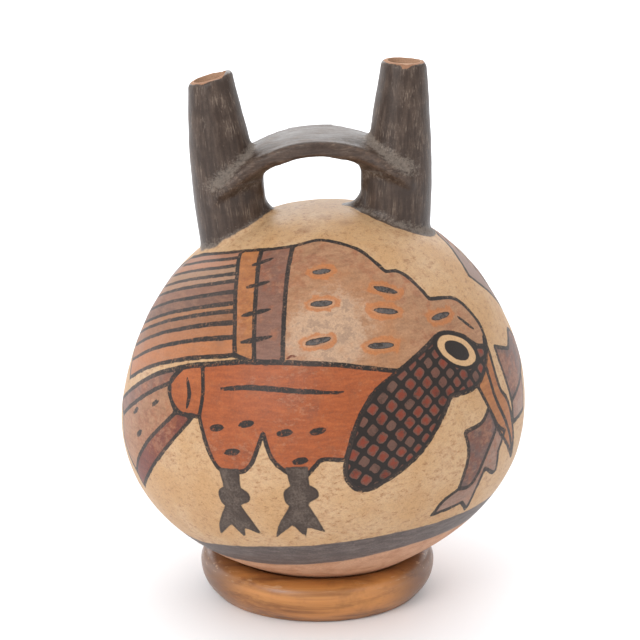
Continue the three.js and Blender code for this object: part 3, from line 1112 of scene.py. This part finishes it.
# The dark band low round the pot, and the bare clay under it
def paintFoot(colour):
    drift = (clay.noise(0.04, where, 2) - 0.5) * 2 + wander
    bandFaded = clay.step(streak + (grain - 0.5) * 0.4, 0.35, 0.75)
    bandTone = clay.mix(bandFaded, tone(bandPaints["dark"]), tone(bandPaints["light"]))
    colour = clay.mix(clay.step(clay.field("bandTop") + drift, -soft * 2, soft * 2), colour, bandTone)
    base = clay.mix(clay.step(blotch, 0.4, 0.7), tone(paints["clay"]), tone(wear["clayBlotch"]))
    low = clay.step(clay.field("bandFoot") + drift, -0.5, 0.5)
    return clay.mix(low, colour, base), low


# Dark slip over the spouts and bridge, burnished along them, scratched, and pale grey in the joints and
# round the spouts' feet with dust and a painted sheen
def paintUmber(stroked, scratch, dustAndSheen):
    umberRubbed = clay.step(stroked + (blotch - 0.5) * 0.5, 0.35, 0.7)
    umber = clay.mix(umberRubbed, tone(paints["umber"]), tone(wear["umberRubbed"]))
    scratched = clay.step(scratch + (blotch - 0.5) * 0.6, 0.58, 0.72)
    umber = clay.tint(umber, scratched * 0.5, wear["umberScratch"])
    umber = clay.tint(umber, clay.field("rimWear") * clay.step(scuff, 0.42, 0.6) * 0.4, wear["umberRim"])
    umber = clay.tint(umber, clay.step(grain, 0.66, 0.8) * 0.35, wear["umberSpeck"])
    return clay.tint(umber, dustAndSheen * 0.45, paints["dustAndSheen"])


def bareMouths(colour):
    mouth = clay.field("bare")
    bare = clay.step(mouth + (hand - 0.5) * 1.1 + (grain - 0.5) * 0.5, -0.15, 0.15)
    biscuitLitInside = clay.mix(clay.step(blotch, 0.35, 0.7), tone(mouthPaints["light"]), tone(mouthPaints["dark"]))
    # inside the bore the bare clay is painted lighter than on the rim: painted light where the bore lies in
    # shade
    biscuitLitInside = clay.tint(biscuitLitInside, clay.step(mouth, 0.9, 1.6), paints["biscuitLitInside"])
    return clay.mix(bare, colour, biscuitLitInside), bare


# Fine grit darkens everything a little, unevenly
def addGrit(colour):
    gritty = clay.step(grain + (pepper - 0.5) * 0.4, 0.3, 0.7)
    grit = clay.mix(gritty, tone(wear["gritDark"]), tone(wear["gritLight"]))
    return clay.mix(1.0, colour, grit, "MULTIPLY")


def clayFinish():
    shape = {name: clay.field(name) for name in ("layerA", "layerB", "layerC", "layerD", "wing", "pouch")}
    colour = paintGround()
    for name in ("layerD", "layerC", "layerB", "layerA"):
        colour = layPaint(colour, name, shape[name])
    colour = wearBack(colour, inside(shape["layerB"]))
    colour, featherLines = paintWing(colour, shape["wing"])
    colour = paintPouch(colour, shape["pouch"])
    colour, ink = drawLines(colour, featherLines, shape.values())
    colour = paintEyeAndLegs(colour)
    colour, chip = chipAndStain(colour)
    colour, low = paintFoot(colour)
    slip = clay.step(clay.field("slip") + wander * 2, -0.3, 0.3)
    burnish = clay.field("burnish", 1)
    stroked = clay.noise(0.7, clay.stretch(burnish, (1, 1, 0.1)), 4, 0.6)
    scratch = clay.noise(2.4, clay.stretch(burnish, (1, 1, 0.05)), 3, 0.6, 0.3)
    # dust, and a painted sheen, where the slip turns pale grey
    dustAndSheen = clay.step(clay.field("dusty") * 0.85 + (scuff - 0.5) * 1.6 + (grain - 0.5) * 1.1, 0.3, 0.85)
    colour = clay.mix(slip, colour, paintUmber(stroked, scratch, dustAndSheen))
    colour, bare = bareMouths(colour)
    colour = addGrit(colour)
    gloss = clay.step(blotch, 0.3, 0.8) * 0.14 + clayLook["gloss"] + slip * (stroked - 0.5) * 0.35
    rough = gloss.most((1 - slip) * 0.47).most(bare * 0.85).most(slip * dustAndSheen * 0.8)
    clay.use(Base_Color=colour, Roughness=rough.most(low * 0.62).most(ink * 0.5))
    clay.shader.inputs["Specular IOR Level"].default_value = clayLook["shine"]
    relief = (grain * 0.4 + blotch * 0.5 + scuff * 0.5 + streak * (1 - slip) * 0.25 +
              stroked * slip * 1.1 + scratch * slip * 0.3 - ink * 0.12 - chip * 1.2)
    clay.bump(relief, 0.16 * mm, 0.8)
    return clay.material


vessel.data.materials.clear()
vessel.data.materials.append(clayFinish())
print("clay finished")

# The ring
ring = {
    "radius": 44.5,
    "height": 16.2,
    "bulge": 10.8,
    "foot": 39.6,           # radii of the foot, the top's inner edge and the hole
    "footRound": 1.4,
    "top": 37.5,
    "bore": 22.5,
    "seatRadius": 31,
    "seatHeight": 14,
    "seatGap": 0.3,
}


def makeRing():
    wide, tall, bulge = ring["radius"], ring["height"], ring["bulge"]
    foot, soft, top = ring["foot"], ring["footRound"], ring["top"]
    seat = (ring["seatRadius"], ring["seatHeight"])
    outline = np.vstack([
        [(ring["bore"], ring["seatHeight"]), (ring["bore"], 0), (foot - soft, 0)],
        bend((foot - soft, 0), (foot, 0), (foot + soft / 2, soft), 4)[1:],
        bend((foot + soft / 2, soft), (wide, bulge / 2), (wide, bulge), 14)[1:],
        bend((wide, bulge), (wide, tall), (top, tall), 14)[1:],
        bend((top, tall), ((top + seat[0]) / 2, tall), seat, 6)[1:],
        [(ring["bore"], ring["seatHeight"])],
    ])
    piece = turn("ring_wood", outline, 144)
    potShape = turn("seat", offsetOutline(potOutline(30), ring["seatGap"]), 144)
    writePoints(potShape, placePot(readPoints(potShape)))
    points = readPoints(piece)
    points[:, 0] += pot["centring"]
    writePoints(piece, points)
    cutAway(piece, potShape)
    only(piece)
    bpy.ops.object.shade_smooth_by_angle(angle=math.radians(35))
    return piece


ringStand = makeRing()
print("ring turned:", len(ringStand.data.polygons), "faces")

woodLook = {
    "light": (196, 132, 72),
    "dark": (112, 66, 36),
    "fibre": (200, 140, 76),
    "pore": (112, 62, 28),
    "endGrainAndShade": (84, 53, 34),
    "grime": (104, 68, 40),
    "nick": (206, 168, 130),
    "gloss": 0.3,
}


def woodFinish():
    f = Finish("turned_wood")
    where = f.add("ShaderNodeTexCoord", {}, output=3)
    along = f.stretch(where, (12, 60, 200), (0.05, 0.12, 0))      # the grain lies mostly along X
    fibre = f.noise(3.2, f.stretch(where, (8, 150, 380), (0.05, 0.12, 0)), 5, 0.65, 0.3)
    growth = f.noise(0.7, along, 4, 0.55, 1.0)
    pores = f.noise(6, along, 3, 0.65)
    colour = f.mix(f.step(growth, 0.3, 0.7), tone(woodLook["dark"]), tone(woodLook["light"]))
    colour = f.tint(colour, f.step(fibre, 0.35, 0.75) * 0.55, woodLook["fibre"])
    colour = f.tint(colour, f.step(pores, 0.6, 0.75) * 0.35, woodLook["pore"])
    x = f.add("ShaderNodeSeparateXYZ", {}, [where], 0)
    # darker towards both ends along X: end grain, and painted shade on the ring's left and right sides
    endGrainAndShade = f.step(abs(x - pot["centring"] * mm) + (growth - 0.5) * 0.012, 0.024, 0.041)
    colour = f.tint(colour, endGrainAndShade * 0.8, woodLook["endGrainAndShade"])
    grime = f.step(f.noise(60, where, 4, 0.7), 0.52, 0.7)
    colour = f.tint(colour, grime * 0.3, woodLook["grime"])
    height = f.add("ShaderNodeSeparateXYZ", {}, [where], 2)
    onTopRim = f.step(height, 11.5 * mm, 14.2 * mm) * f.step(ring["height"] * mm - height, 0, 0.6 * mm)
    colour = f.tint(colour, f.step(pores, 0.58, 0.68) * onTopRim * 0.45, woodLook["nick"])
    f.use(Base_Color=colour, Roughness=f.step(fibre, 0.3, 0.8) * 0.14 + woodLook["gloss"])
    f.shader.inputs["Coat Roughness"].default_value = 0.3
    f.use(Coat_Weight=0.12)
    f.bump(fibre * 0.6 + pores * 0.6, 0.06 * mm, 0.8)
    return f.material


ringStand.data.materials.clear()
ringStand.data.materials.append(woodFinish())

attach(vessel, "root")
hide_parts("vessel")
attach(ringStand, "root")
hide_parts("ring_stand")


# Studio
def softLight(name, place, aim, size, power):
    away = Vector(place) - Vector(aim)
    bpy.ops.object.light_add(type="AREA", location=place, rotation=away.to_track_quat("Z", "Y").to_euler())
    light = bpy.context.object
    light.name = name
    light.data.shape = "RECTANGLE"
    light.data.size, light.data.size_y = size
    light.data.energy = power


bpy.ops.object.select_all(action="DESELECT")
bpy.ops.mesh.primitive_plane_add(size=12)
floor = bpy.context.object
floor.name = "floor"
floorPaint = bpy.data.materials.new("floor_paper")
floorPaint.use_nodes = True
floorShader = floorPaint.node_tree.nodes["Principled BSDF"]
floorShader.inputs["Base Color"].default_value = (0.95, 0.96, 0.985, 1)
floorShader.inputs["Roughness"].default_value = 1
floorShader.inputs["Specular IOR Level"].default_value = 0
floor.data.materials.append(floorPaint)

world = bpy.data.worlds.new("tent")
scene.world = world
world.use_nodes = True
world.node_tree.nodes["Background"].inputs["Color"].default_value = (1, 1, 1, 1)
world.node_tree.nodes["Background"].inputs["Strength"].default_value = 0.64
softLight("overhead", (0, 0.3, 1.8), (0, 0.3, 0), (5, 5), 46)
softLight("key_light", (-1.15, -1.6, 1.05), (0, 0, 0.1), (1, 1), 18.5)
softLight("fill_light", (1, -1, 1.0), (0, 0, 0.1), (1, 1), 1.8)
softLight("back_light", (0, 1.3, 0.75), (0, 0, 0.1), (1.8, 0.8), 11)
softLight("left_panel", (-1.5, 0.8, 0.5), (0, 0, 0.1), (1, 1), 4.6)
softLight("right_panel", (1.5, 0.8, 0.5), (0, 0, 0.1), (1, 1), 2)
scene.view_settings.view_transform = "Standard"
print("studio set")
